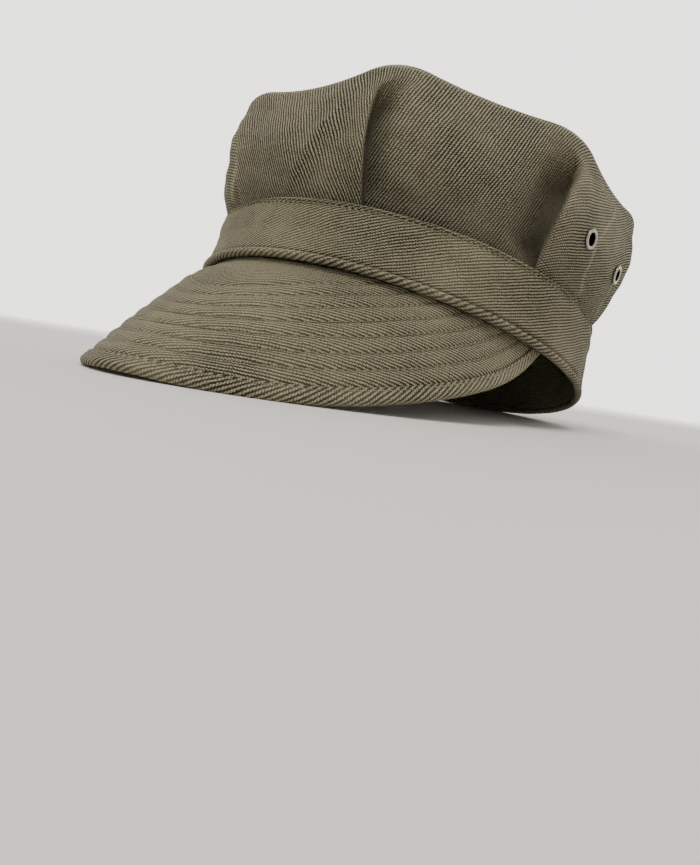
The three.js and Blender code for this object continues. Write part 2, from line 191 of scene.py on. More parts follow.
def cotton_twill(name, rib, groove, pitch, relief=0.3, slack=1.2):
    """Heavy cotton twill: raised diagonal ribs and dark furrows, each rib a row of slanted floats."""
    material = blank_material(name)
    cloth = add(material, "UVMap", uv_map="cloth")[0]
    place = add(material, "TexCoord")["Object"]
    # The ribs wander a little, as hand-fed cloth does.
    wander = add(material, "TexNoise", {"Vector": cloth, "Scale": 0.07, "Detail": 2.0})[0]
    split = add(material, "SeparateXYZ", {0: cloth})
    shifted = add(material, "Math", {0: wander, 1: slack, 2: split[1]}, operation="MULTIPLY_ADD")[0]
    turn = add(material, "Math", {0: shifted, 1: 2 * np.pi / pitch}, operation="MULTIPLY")[0]
    wave = add(material, "Math", {0: turn}, operation="COSINE")[0]
    rise = add(material, "Math", {0: wave, 1: 0.5, 2: 0.5}, operation="MULTIPLY_ADD")[0]
    round_rib = add(material, "Math", {0: rise, 1: 0.7}, operation="POWER")[0]
    # The floats slant against the rib, and are drawn about twice as coarse as the real thread to show.
    float_length = 1.1
    float_turn = add(material, "Math", {0: split[0], 1: 2 * np.pi / float_length, 2: turn},
                     operation="MULTIPLY_ADD")[0]
    float_wave = add(material, "Math", {0: float_turn}, operation="SINE")[0]
    threads = add(material, "Math", {0: float_wave, 1: 0.22, 2: 0.78}, operation="MULTIPLY_ADD")[0]
    height = add(material, "Math", {0: round_rib, 1: threads}, operation="MULTIPLY")[0]
    # Slubs, thicker stretches of yarn about 3 mm long, run along the ribs. The nap's tufts are 0.6 mm.
    stretch = add(material, "VectorMath", {0: cloth, 1: (0.3, 1 / pitch, 1.0)}, operation="MULTIPLY")[0]
    slubs = add(material, "TexNoise", {"Vector": stretch, "Scale": 1.0, "Detail": 3.0})[0]
    nap = add(material, "TexNoise", {"Vector": cloth, "Scale": 1.8, "Detail": 2.0})[0]
    grain = add(material, "Math", {0: nap, 1: 1.5, 2: height}, operation="MULTIPLY_ADD")[0]
    lift = add(material, "MapRange", {0: grain, 1: 1.05, 2: 1.57, 3: 0.0, 4: 1.0})[0]
    # The dye has faded in patches 35 mm across, to brown in some, and the furrows are shallower there.
    fading = add(material, "TexNoise", {"Vector": place, "Scale": 28.0, "Detail": 4.0})[0]
    tone = add(material, "Math", {0: slubs, 1: 0.5, 2: 0.55}, operation="MULTIPLY_ADD")[0]
    tone = add(material, "Math", {0: fading, 1: 0.4, 2: tone}, operation="MULTIPLY_ADD")[0]
    faded = add(material, "MapRange", {0: fading, 1: 0.4, 2: 0.68, 3: 0.0, 4: 1.0})[0]
    brown = add(material, "Math", {0: faded, 1: 0.22}, operation="MULTIPLY")[0]
    top = add(material, "Mix", {0: brown, 6: linear(rib), 7: linear("#A3957A")}, data_type="RGBA")[2]
    low = add(material, "Mix", {0: brown, 6: linear(groove), 7: linear(rib)}, data_type="RGBA")[2]
    colour = add(material, "Mix", {0: lift, 6: low, 7: top}, data_type="RGBA")[2]
    # Rubbed edges are paler. Where wear_and_shade is below nothing the colour is darkened instead:
    # painted shade in the pleats, along stitched rows and low on the band and crown walls.
    wear_and_shade = add(material, "Attribute", attribute_name="wear_and_shade")["Fac"]
    painted_shade = add(material, "MapRange", {0: wear_and_shade, 1: -1.0, 2: 0.0, 3: 0.45, 4: 1.0})[0]
    tone = add(material, "Math", {0: tone, 1: painted_shade}, operation="MULTIPLY")[0]
    rubbed = add(material, "Math", {0: wear_and_shade, 1: grain}, operation="MULTIPLY")[0]
    rubbed = add(material, "Math", {0: rubbed, 1: 0.4}, operation="MULTIPLY", use_clamp=True)[0]
    colour = add(material, "Mix", {0: rubbed, 6: colour, 7: linear("#C2BCA0")}, data_type="RGBA")[2]
    shaded = add(material, "VectorMath", {0: colour, 3: tone}, operation="SCALE")[0]
    bump = add(material, "Bump", {"Height": grain, "Distance": relief / 1000})[0]
    rough = add(material, "Math", {0: slubs, 1: 0.12, 2: 0.82}, operation="MULTIPLY_ADD")[0]
    shader = add(material, "BsdfPrincipled", {
        "Base Color": shaded, "Roughness": rough, "Normal": bump, "Specular IOR Level": 0.3,
        "Sheen Weight": 0.08, "Sheen Roughness": 0.5, "Sheen Tint": linear("#B9B498"),
    })[0]
    add(material, "OutputMaterial", {0: shader})
    return material


wale_pitch = 1.15
band_cloth = cotton_twill("cotton_twill_band", "#9F997D", "#1D1C12", wale_pitch)
band_turns = np.linspace(-180, 180, 1201)
band_low = (2 * welt_radius - 0.6) / band_height(band_turns)
band_drop = 1 / band_height(band_turns)
band_fold = 1.0
band_stitch_drop = 2.1
stitch_length = 2.6
band_stitches = 231
back_seam_arc = 1.67


def stitch_pull(turn, drop):
    """The slanted puckers that each stitch draws into the folded edge, from -1 to 1."""
    return np.sin(band_stitches * np.radians(turn) - drop * 2.4 + np.sin(10 * np.radians(turn)))


def band_relief(turn, drop):
    """How far the band's face stands proud, from the distance below its top edge."""
    furrow = -0.5 * np.exp(-((drop - band_stitch_drop) / 0.7) ** 2)
    pucker = 0.3 * stitch_pull(turn, drop) * np.exp(-((drop - band_stitch_drop + 0.4) / 1.4) ** 2)
    place = round_place(turn, drop)
    waves = (0.45 * soft_noise(place, 28, 3) + 0.3 * soft_noise(place, 13, 4)) * ease(drop / 6)
    seam = -0.5 * np.exp(-((np.abs(turn) - 180) * back_seam_arc / 0.8) ** 2)
    return furrow + pucker + waves + seam + 0.35 * ease((drop - 3) / 3) * ease((12 - drop) / 3)


# Painted shade on the band: dark marks at the puckers of the stitch row under the top edge, and a darker
# strip along the lower edge above the welt.
outer_rows, band_shade_rows = [], []
for share in np.linspace(0, 1, 34):
    up = mix(band_low, 1 - band_drop, share)
    drop = (1 - up) / band_drop
    at_row = np.exp(-(drop - band_stitch_drop + 0.3) ** 2)
    stitch_shade = (0.4 - 0.5 * stitch_pull(band_turns, drop)) * at_row
    band_shade_rows.append(-np.clip(stitch_shade, 0, 1) - 0.5 * (1 - ease(share / 0.12)))
    tuck = 1 - ease(share / 0.07)
    outer_rows.append(band_point(band_turns, up, tuck - band_relief(band_turns, drop)))
for angle in np.radians(np.linspace(15, 180, 10)):
    up = 1 - band_fold * band_drop * (1 - np.sin(angle))
    outer_rows.append(band_point(band_turns, up, band_fold * (1 - np.cos(angle))))
inner_rows = [band_point(band_turns, mix(1 - band_drop, band_low, s), band_wall + 0 * band_turns)
              for s in np.linspace(0.1, 1, 9)]
band_grid = np.array([*outer_rows, *inner_rows, outer_rows[0]])
band_painted_shade = np.zeros(band_grid.shape[:2])
band_painted_shade[:len(band_shade_rows)] = band_shade_rows
band_girth = np.pi * (band_half_length + band_half_width) / 360 * band_turns
steps = np.linalg.norm(np.diff(band_grid, axis=0), axis=-1)
band_height_at = np.concatenate([np.zeros((1, len(band_turns))), np.cumsum(steps, axis=0)])
band_flat = wales(np.broadcast_to(band_girth, band_height_at.shape), band_height_at, 25)
sewn_mesh("band_cloth", band_grid, band_flat, band_cloth, "band_twill", "band", wear_and_shade=band_painted_shade)

# Topstitching. Two-ply cotton thread, one row of short stitches just under the band's top edge. The row
# holds the band's folded edge down on the crown, and draws slanted puckers into it.
thread_radius = 0.24


def thread(name):
    """Matt cotton thread a little lighter than the cloth, with its plies twisted round it."""
    material = blank_material(name)
    ply_length = 0.9
    along = add(material, "UVMap", uv_map="cloth")[0]
    split = add(material, "SeparateXYZ", {0: along})
    turn = add(material, "Math", {0: split[0], 1: 2 * np.pi / ply_length, 2: split[1]},
               operation="MULTIPLY_ADD")[0]
    ply = add(material, "Math", {0: turn}, operation="SINE")[0]
    shade = add(material, "MapRange", {0: ply, 1: -1.0, 2: 1.0, 3: 0.0, 4: 1.0})[0]
    colour = add(material, "Mix", {0: shade, 6: linear("#5A573F"), 7: linear("#989277")},
                 data_type="RGBA")[2]
    bump = add(material, "Bump", {"Height": ply, "Distance": 0.00008})[0]
    shader = add(material, "BsdfPrincipled", {
        "Base Color": colour, "Normal": bump, "Roughness": 0.75, "Sheen Weight": 0.2,
    })[0]
    add(material, "OutputMaterial", {0: shader})
    return material


def stitches(name, paths, material, slot, length=stitch_length, radius=thread_radius):
    """Rows of stitches along paths of points on the cloth, each with the way out of the cloth there."""
    shares = np.array([-1, -0.94, -0.72, -0.35, 0, 0.35, 0.72, 0.94, 1])
    girth = np.array([0, 0.6, 0.92, 1, 1, 1, 0.92, 0.6, 0])
    angles = np.linspace(0, 2 * np.pi, 9)
    grids, cloths = [], []
    for points, normals in paths:
        reach = np.concatenate([[0], np.cumsum(np.linalg.norm(np.diff(points, axis=0), axis=1))])
        count = int(reach[-1] / length)
        half = reach[-1] / count * 0.5
        for k in range(count):
            at = reach[-1] * (k + 0.5) / count + half * 0.86 * shares
            line = np.stack([np.interp(at, reach, points[:, i]) for i in range(3)], -1)
            out = np.stack([np.interp(at, reach, normals[:, i]) for i in range(3)], -1)
            out /= np.linalg.norm(out, axis=-1, keepdims=True)
            way = line[-1] - line[0]
            side = np.cross(way / np.linalg.norm(way), out)
            rise = radius * (0.35 - 1.5 * np.abs(shares) ** 4)
            ring = np.cos(angles)[:, None] * out[:, None] + np.sin(angles)[:, None] * side[:, None]
            ring *= (radius * girth)[:, None, None]
            grids.append(line[:, None] + out[:, None] * rise[:, None, None] + ring)
            cloths.append(np.stack(np.broadcast_arrays((half * shares)[:, None], angles[None]), -1))
    rows, columns = grids[0].shape[:2]
    corners, quads = grid_quads(rows, columns)
    quads = np.concatenate([quads + i * rows * columns for i in range(len(grids))])
    mesh = bpy.data.meshes.new(name)
    mesh.from_pydata(laid(np.concatenate([g.reshape(-1, 3) for g in grids])).tolist(), [], quads.tolist())
    layer = mesh.uv_layers.new(name="cloth")
    flat = np.stack([np.stack([cloth[a, b] for a, b in corners], 2) for cloth in cloths])
    layer.data.foreach_set("uv", flat.astype(np.float32).ravel())
    return dressed(name, mesh, material, slot)


def band_row(drop):
    up = 1 - drop * band_drop
    points = band_point(band_turns, up, -band_relief(band_turns, drop + 0 * band_turns))
    return points, outward(band_turns)


cotton_thread = thread("cotton_thread")
stitches("band_stitching", [band_row(band_stitch_drop)], cotton_thread, "band_twill")

# Crown. One round piece of the same twill, pressed into eight corners and pleated down to the band:
# the front, back and side panels lie over, and the four diagonal ones dive under their folded edges.
crown_half_length = 109.5
crown_half_width = 92.5
crown_shift = 2.1
crown_height_front = 91
crown_height_back = 98.5
crown_wall = 1.6
crown_tuck = 7
crown_edge_radius = 6
crown_top_sag = 4
panel_bulge = 5
corner_turn = 7
pleat_lap = 1.2
pleat_foot_depth = 3.4
fold_reach = 17
crown_girth_radius = 104
# The wall from band to rim, and a degree of it, laid flat.
wall_rise = 62
wall_arc = 1.75
wall_rows, wall_rows_inside = 64, 18
top_rows, top_rows_inside = 26, 10
rim_rows = 8
# Each corner: its angle, the reach and rise of the top there, the bulge of the panel after it, whether
# that panel lies over its neighbours, and how far the rim sags over it.
corners = [
    (-22.5, 1.0, 0.957, 0.9, True, 5.2),
    (22.5, 1.0, 1.022, 1.0, False, 2.6),
    (67.5, 1.0, 1.01, 1.0, True, 4.5),
    (112.5, 1.02, 1.0, 0.8, False, 4.5),
    (157.5, 1.0, 0.99, 1.0, True, 4.5),
    (202.5, 1.0, 1.0, 1.1, False, 4.5),
    (247.5, 1.01, 1.0, 1.0, True, 4.5),
    (292.5, 1.01, 0.98, 1.15, False, 4.5),
]
corner_turns, bulges, rim_sags = np.array([(corner[0], corner[3], corner[5]) for corner in corners]).T
# The pleat at each corner: how deep it dives, how wide it opens, the share of the height where it starts
# to close, and in degrees how far its edge bows at half height, is moved at the band and near the top.
pleats = np.array([
    (6.0, 1.0, 0.68, 2.0, 0.0, 0.0),
    (7.5, 0.9, 0.72, -0.9, -1.4, -2.4),
    (12.0, 1.5, 0.70, -3.0, 0.0, 3.4),
    (7.0, 1.0, 0.70, -1.8, 0.4, 0.0),
    (7.5, 1.0, 0.66, 2.4, 0.0, -1.0),
    (6.5, 1.0, 0.70, -2.0, -0.5, 0.0),
    (7.5, 1.1, 0.74, 1.6, 0.3, -1.5),
    (6.5, 1.0, 0.68, -2.4, 0.0, 0.8),
])


def corner_point(index):
    turn, reach, rise = np.array([corner[:3] for corner in corners])[np.asarray(index) % 8].T
    height = mix(crown_height_back, crown_height_front, front_share(turn)) * rise - crown_edge_radius
    across = crown_half_width * reach * np.sin(np.radians(turn))
    along = crown_shift - crown_half_length * reach * np.cos(np.radians(turn))
    return np.stack([across, along, height], 1)


def edge_point(turn):
    """The edge of the flat top: straight sagging runs between the corners, rounded where they meet."""
    total = np.zeros((*turn.shape, 3))
    for shift in np.linspace(-corner_turn, corner_turn, 9):
        place = (turn.ravel() + shift - corner_turns[0]) / 45
        index = np.floor(place).astype(int)
        across = place - index
        run = mix(corner_point(index), corner_point(index + 1), across[:, None])
        run[:, 2] -= rim_sags[index % 8] * 4 * across * (1 - across)
        total += run.reshape(total.shape)
    return total / 9


def smooth_line(keys, values, at):
    """A smooth curve through a few chosen values."""
    keys, values = np.array(keys, float), np.array(values, float)
    slopes = np.gradient(values, keys)
    i = np.clip(np.searchsorted(keys, at) - 1, 0, len(keys) - 2)
    width = keys[i + 1] - keys[i]
    s = np.clip((at - keys[i]) / width, 0, 1)
    start = values[i] * (1 + 2 * s) * (1 - s) ** 2 + slopes[i] * width * s * (1 - s) ** 2
    return start + values[i + 1] * s * s * (3 - 2 * s) + slopes[i + 1] * width * s * s * (s - 1)


# A pleat seen from above, from the panel that lies over to the one that dives under: the place when it
# is pulled flat, the place when it is folded, and the share of the lap and of the depth.
fold_keys = [-1, -0.6, -0.3, -0.12, 0, 0.09, 0.2, 0.3, 0.4, 0.55, 0.75, 1]
fold_place = [-1, -0.6, -0.28, -0.09, 0, -0.03, -0.2, -0.22, -0.06, 0.26, 0.6, 1]
fold_lap = [0, 0.3, 0.85, 1, 0.2, -0.9, -0.6, 0, 0, 0, 0, 0]
fold_depth = [0, 0, 0, 0, 0, 0.06, 0.5, 0.82, 1, 0.86, 0.38, 0]
hollow_keys = [-1, -0.5, -0.22, 0, 0.3, 0.6, 1]
hollow_depth = [0, 0.35, 0.9, 1.05, 1, 0.5, 0]


fold_widths = np.degrees(fold_reach * pleats[:, 1] / crown_girth_radius)


def crown_columns():
    """For each column of the crown: its corner, its place in that corner's pleat, and its panels."""
    columns = []
    for index, corner in enumerate(corners):
        over_after = corner[4]
        degrees, next_degrees = fold_widths[[index, (index + 1) % 8]]
        for c in np.linspace(-1, 1, 47)[:-1]:
            columns.append((index, corner[0], c, -1 if over_after else 1, degrees))
        for share in np.linspace(0, 1, 29)[:-1]:
            turn = mix(corner[0] + degrees, corner[0] + 45 - next_degrees, share)
            columns.append((index, turn, 0, 0, 0))
    return columns


columns = crown_columns()
columns.append(columns[0])
corner_index, column_turn, fold_at, fold_side, fold_degrees = np.array(columns, float).T
corner_index = corner_index.astype(int)
column_turn[-1] += 360
over_side = fold_side * fold_at
in_fold = fold_side != 0
folded_place = np.where(in_fold, smooth_line(fold_keys, fold_place, over_side), 0) * fold_side
lap_share = np.where(in_fold, smooth_line(fold_keys, fold_lap, over_side), 0)
depth_share = np.where(in_fold, smooth_line(fold_keys, fold_depth, over_side), 0)
hollow_share = np.where(in_fold, smooth_line(hollow_keys, hollow_depth, over_side), 0)
pleat_depth, _, pleat_top = pleats[corner_index, :3].T
flat_turn = column_turn + fold_at * fold_degrees
panel_place = (flat_turn - corner_turns[0]) / 45
own = np.floor(panel_place).astype(int)
own_across = panel_place - own
near = np.clip(np.minimum(own_across, 1 - own_across) / 0.15, 0, 1)
neighbour = np.where(own_across < 0.5, own - 1, own + 1)
bulge_at = mix((bulges[own % 8] + bulges[neighbour % 8]) / 2, bulges[own % 8], ease(near))
bow_at, foot_at, head_at = [np.interp(flat_turn, corner_turns, shift, period=360)
                            for shift in pleats[:, 3:].T]


def streak(turn, up, start, end, width, height):
    """A soft ridge or hollow in the wall along a line from one place to another."""
    x, y = ((turn - start[0] + 180) % 360 - 180) * wall_arc, (up - start[1]) * wall_rise
    x1, y1 = (end[0] - start[0]) * wall_arc, (end[1] - start[1]) * wall_rise
    share = (x * x1 + y * y1) / (x1 ** 2 + y1 ** 2)
    away = (x * y1 - y * x1) / np.hypot(x1, y1)
    fade = ease((share + 0.25) / 0.35) * ease((1.25 - share) / 0.35)
    return height * fade * np.exp(-(away / width) ** 2)


def crown_relief(turn, up):
    """The drape of the wall: gathers above the band, slack between the pleats and handling creases."""
    a = np.radians(turn)
    rise = up * wall_rise
    gathers = 0.3 * np.sin(80 * a + 2 * np.sin(9 * a)) * np.exp(-rise / 5) * ease(rise / 2)
    place = round_place(turn, rise)
    slack = 0.9 * soft_noise(place, 32, 11) + 0.3 * soft_noise(place, 12, 12)
    creases = streak(turn, up, (-1.5, 0.0), (9, 0.7), 2.8, 0.9)
    creases += streak(turn, up, (4, 0.05), (14, 0.6), 4.5, -0.7)
    creases += streak(turn, up, (30, 0.1), (36, 0.7), 5, 1.4)
    return gathers + (slack + creases) * ease(up / 0.2) * ease((1 - up) / 0.12)


# Where the folded cap was pressed flat: faint pale lines on the side panels and beside the front, each
# by the shares of the height and the angles that it passes.
pressed = [
    ((0.04, 0.33, 0.66, 0.97), (88.5, 84.8, 86.5, 91)),
    ((0.06, 0.25, 0.5), (105.5, 105, 103.5)),
    ((0.08, 0.4, 0.72), (-31, -29.5, -28)),
    ((0.12, 0.5, 0.92), (262, 267, 273)),
]


def press_lines(turn, up):
    lines = 0
    for heights, turns in pressed:
        away = ((turn - smooth_line(heights, turns, up) + 180) % 360 - 180) * wall_arc
        fade = ease((up - heights[0]) / 0.06) * ease((heights[-1] - up) / 0.1)
        lines = lines + fade * np.exp(-(away / 0.9) ** 2)
    return lines


def crown_wall_points(up, inside):
    """One row of the wall. The inside skin passes behind the pleats."""
    closed = 1 - ease((up - pleat_top) / (1 - pleat_top))
    place = mix(fold_at, folded_place, closed * (not inside))
    bow = np.sin(np.pi * up) * bow_at + (1 - ease(up / 0.8)) * foot_at
    bow += ease(up / 0.85) * ease((1 - up) / 0.14) * head_at
    turn = column_turn + place * fold_degrees + bow
    foot = band_point(turn, 1.0, band_wall + gap + 0 * turn)
    foot[:, 2] += gap
    depth = mix(pleat_foot_depth, pleat_depth, ease(up / 0.22)) * closed
    lap = pleat_lap * ease(up / 0.2) * closed * lap_share
    tuck = hollow_share if inside else depth_share
    push = (0 if inside else lap) - tuck * depth - crown_wall * inside
    swell = panel_bulge * bulge_at * np.sin(np.pi * up)
    relief = crown_relief(turn, up) + press_lines(turn, up) * 0.35
    return mix(foot, edge_point(turn), up) + outward(turn) * (swell + push + relief)[:, None]


def crown_rows(inside, wall_count, top_count):
    """The cloth from its tucked edge up the wall, over the rim and in to the middle of the top."""
    rows = []
    for share in (0, 0.5):
        up = 1 - crown_tuck * (1 - share) / band_height(flat_turn)
        dive = share * pleat_foot_depth * (hollow_share if inside else depth_share)
        rows.append(band_point(flat_turn, up, band_wall + gap + crown_wall * inside + dive))
    rows += [crown_wall_points(up, inside) for up in np.linspace(0, 1, wall_count)]
    radius = crown_edge_radius - crown_wall * inside
    edge = edge_point(flat_turn)
    for angle in np.radians(np.linspace(0, 90, rim_rows + 1)[1:]):
        proud = radius * np.cos(angle) - crown_edge_radius
        rows.append(edge + outward(flat_turn) * proud + np.array([0, 0, radius * np.sin(angle)]))
    rim = rows[-1]
    centre = np.array([0, crown_shift, mix(crown_height_back, crown_height_front, 0.5) - crown_top_sag
                       - crown_wall * inside])
    for share in np.linspace(1, 0, top_count)[1:]:
        level = mix(centre, rim, share)
        level[:, 2] = mix(centre[2], rim[:, 2], share * share)
        dents = 1.5 * soft_noise(level[:, :2].T, 46, 21) + 0.4 * soft_noise(level[:, :2].T, 15, 22)
        level[:, 2] += dents * ease((1 - share) / 0.2)
        rows.append(level)
    return np.array(rows)


crown_outside = crown_rows(False, wall_rows, top_rows)
crown_inside = crown_rows(True, wall_rows_inside, top_rows_inside)

# The round of cloth laid flat: beyond the rim each panel runs straight on, away from its own middle.
panel_turn = corner_turns[0] + 22.5 + 45 * own


def crown_cloth(points, wall_count, lip):
    """Where each point lies in the flat cloth. Lip is the cloth that turns round a folded edge."""
    rim_row = 2 + wall_count + rim_rows - 1
    rim = points[rim_row]
    round_edge = lip * fold_side * ease((over_side + 0.1) / 0.2) * ease((0.44 - over_side) / 0.2)
    steps = np.linalg.norm(np.diff(points[:rim_row + 1], axis=0), axis=-1)
    for row in steps:
        row[in_fold] = np.interp(flat_turn[in_fold], flat_turn[~in_fold], row[~in_fold], period=360)
    down = np.concatenate([np.cumsum(steps[::-1], axis=0)[::-1], np.zeros((1, points.shape[1]))])
    ups = np.concatenate([[0, 0], np.linspace(0, 1, wall_count), np.ones(rim_row - wall_count - 1)])
    flat = np.zeros((*points.shape[:2], 2))
    for row, point in enumerate(points):
        if row > rim_row:
            flat[row] = point[:, :2] - [0, crown_shift]
            continue
        closed = 1 - ease((ups[row] - pleat_top) / (1 - pleat_top))
        start, end = mix(-0.95, 0.12, closed), mix(0.95, 0.44, closed)
        swung = ease((over_side - start) / (end - start))
        swung = np.where(fold_side > 0, swung, 1 - swung)
        facing = np.where(in_fold, corner_turns[corner_index] - 22.5 + 45 * swung, panel_turn)
        facing = facing + 360 * (np.arange(len(facing)) == len(facing) - 1)
        a = np.radians(facing)
        far = rim[:, 0] * np.sin(a) - (rim[:, 1] - crown_shift) * np.cos(a) + down[row]
        wide = point[:, 0] * np.cos(a) + (point[:, 1] - crown_shift) * np.sin(a) + round_edge * closed
        flat[row, :, 0] = far * np.sin(a) + wide * np.cos(a)
        flat[row, :, 1] = -far * np.cos(a) + wide * np.sin(a)
    return flat


crown_grid = np.concatenate([crown_outside[::-1], crown_inside])
crown_flat = np.concatenate([crown_cloth(crown_outside, wall_rows, 2.6)[::-1],
                             crown_cloth(crown_inside, wall_rows_inside, 0)])
crown_twill = cotton_twill("cotton_twill_crown", "#A8A287", "#191810", wale_pitch)
crown_wear_and_shade = np.zeros(crown_grid.shape[:2])
# Painted shade: the pleat valleys, the cloth under each folded lap and the lower wall above the band are
# darkened in the colour, most on the panels that dive under. Pressed lines, folded edges and the rim are
# rubbed pale.
under_lap_shade = in_fold * ease((over_side + 0.07) / 0.09) * ease((0.5 - over_side) / 0.25)
folded_edge = np.exp(-((over_side + 0.08) / 0.07) ** 2) * in_fold
dives_under = own % 2 == 1
foot_shade, foot_shade_height = np.where(dives_under, 0.9, 0.45), np.where(dives_under, 26, 18)
for row, share in enumerate(np.linspace(0, 1, wall_rows)):
    folded = folded_edge * ease(share / 0.1) * ease((1.1 - share) / 0.3)
    rubbed = np.maximum(0.7 * press_lines(flat_turn, share), 0.12 * folded)
    closed = 1 - ease((share - pleat_top) / (1 - pleat_top))
    pleat_shade = np.maximum(0.65 * depth_share, 0.75 * under_lap_shade) * closed
    crown_shade = np.maximum(pleat_shade, foot_shade * np.exp(-share * wall_rise / foot_shade_height))
    crown_wear_and_shade[len(crown_outside) - 3 - row] = rubbed - crown_shade * (1 - np.clip(rubbed, 0, 1))
near_corner = np.exp(-(np.abs(own_across - np.round(own_across)) / 0.09) ** 2)
crown_wear_and_shade[top_rows - 3:top_rows + 5] += 0.25 + 0.6 * near_corner
crown = sewn_mesh("crown_cloth", crown_grid, wales(crown_flat[..., 0], crown_flat[..., 1], -67),
                  crown_twill, "crown_twill", "crown", wear_and_shade=crown_wear_and_shade)

# Vents. Four turned-over brass eyelets with a dull nickel finish. Each is pushed through a punched hole
# in a side panel and clinched over on the inside.
eyelet_hole = 2.6
eyelet_barrel = 2.9
eyelet_flange = 4.1
eyelet_brim = 0.6
eyelet_drift = 2.5
punch_sides = 32
vents = {
    "eyelet_left_front": (2, 0.24, 0.44),
    "eyelet_left_rear": (2, 0.77, 0.44),
    "eyelet_right_front": (6, 0.76, 0.44),
    "eyelet_right_rear": (6, 0.23, 0.44),
}


def worn_nickel():
    """Plated brass gone dull: a soft gloss in blotches 1 mm across, and painted shade in the barrel."""
    material = blank_material("dull_nickel_plate")
    place = add(material, "TexCoord")["Object"]
    blotch = add(material, "TexNoise", {"Vector": place, "Scale": 900.0, "Detail": 4.0})[0]
    colour = add(material, "Mix", {0: blotch, 6: linear("#7C776A"), 7: linear("#C9C5B9")},
                 data_type="RGBA")[2]
    # Painted shade: the barrel's inside, marked below nothing, is darkened nearly to black.
    wear_and_shade = add(material, "Attribute", attribute_name="wear_and_shade")["Fac"]
    painted_shade = add(material, "MapRange", {0: wear_and_shade, 1: -1.0, 2: 0.0, 3: 0.04, 4: 1.0})[0]
    colour = add(material, "VectorMath", {0: colour, 3: painted_shade}, operation="SCALE")[0]
    rough = add(material, "MapRange", {0: blotch, 1: 0.3, 2: 0.7, 3: 0.28, 4: 0.5})[0]
    bump = add(material, "Bump", {"Height": blotch, "Distance": 0.00005})[0]
    shader = add(material, "BsdfPrincipled", {
        "Base Color": colour, "Metallic": 1.0, "Roughness": rough, "Normal": bump,
    })[0]
    add(material, "OutputMaterial", {0: shader})
    return material


def punched(piece, holes):
    """Cuts round holes through a piece, each given by its middle, two ways across it and its axis."""
    spins = np.linspace(0, 2 * np.pi, punch_sides + 1)[:-1]
    points, faces = [], []
    for middle, first, second, out in holes:
        ring = np.cos(spins)[:, None] * first + np.sin(spins)[:, None] * second
        ring = middle + (eyelet_barrel - 0.1) * ring
        start, end = len(points), len(points) + punch_sides
        points += [*laid(ring + 6 * out), *laid(ring - 9 * out)]
        for i in range(punch_sides):
            after = (i + 1) % punch_sides
            faces.append((start + i, start + after, end + after, end + i))
        faces += [range(end - 1, start - 1, -1), range(end, end + punch_sides)]
    mesh = bpy.data.meshes.new("punches")
    mesh.from_pydata([tuple(map(float, p)) for p in points], [], faces)
    shaped = bmesh.new()
    shaped.from_mesh(mesh)
    bmesh.ops.recalc_face_normals(shaped, faces=shaped.faces)
    shaped.to_mesh(mesh)
    shaped.free()
    punches = bpy.data.objects.new("punches", mesh)
    bpy.context.scene.collection.objects.link(punches)
    cut = piece.modifiers.new("holes", "BOOLEAN")
    cut.operation, cut.solver, cut.object = "DIFFERENCE", "EXACT", punches
    shown = piece.evaluated_get(bpy.context.evaluated_depsgraph_get())
    piece.data = bpy.data.meshes.new_from_object(shown)
    piece.modifiers.clear()
    bpy.data.objects.remove(punches)
    # Points that the cut leaves between only two faces are taken out of the rims.
    trimmed = bmesh.new()
    trimmed.from_mesh(piece.data)
    bmesh.ops.dissolve_verts(trimmed, verts=[vert for vert in trimmed.verts if len(vert.link_edges) == 2])
    trimmed.to_mesh(piece.data)
    trimmed.free()


nickel = worn_nickel()
holes = []


def wall_place(panel, across, up):
    """A point of the wall, as the CAD solid has it, by its panel, the place across it and up it."""
    turn = corners[panel][0] + 45 * across
    bow = eyelet_drift * np.sin(np.pi * up) * (1 - 2 * across) * (1 if corners[panel][4] else -1)
    turn = np.array([turn + bow])
    foot = band_point(turn, 1.0, band_wall + gap + 0 * turn) + np.array([0, 0, gap])
    swell = panel_bulge * corners[panel][3] * np.sin(np.pi * up)
    return (mix(foot, edge_point(turn), up) + outward(turn) * swell)[0]


def eyelet_section():
    """Half of the ring: from its hole over the rolled front and down the barrel to the clinched back."""
    a, b = np.radians(np.arange(0, 91, 11.25)), np.radians(np.arange(10, 121, 15))
    front = np.stack([eyelet_hole + 0.8 * (1 - np.cos(a)), 0.7 + 0.5 * np.sin(a)], -1)
    brim_reach = eyelet_flange - eyelet_brim + eyelet_brim * np.sin(b)
    brim = np.stack([brim_reach, eyelet_brim + eyelet_brim * np.cos(b)], -1)
    back = -crown_wall - 0.9
    shank = [(eyelet_flange - eyelet_brim, 0.62), (eyelet_barrel, 0.5), (eyelet_barrel, back + 0.3)]
    clinch = [(eyelet_barrel + 0.3, back), (3.75, back - 0.1), (3.8, back - 0.35), (3.4, back - 0.62),
              (2.9, back - 0.6), (2.5, back - 0.3), (eyelet_hole, back + 0.4)]
    return np.array([*front, *brim, *shank, *clinch, front[0]])


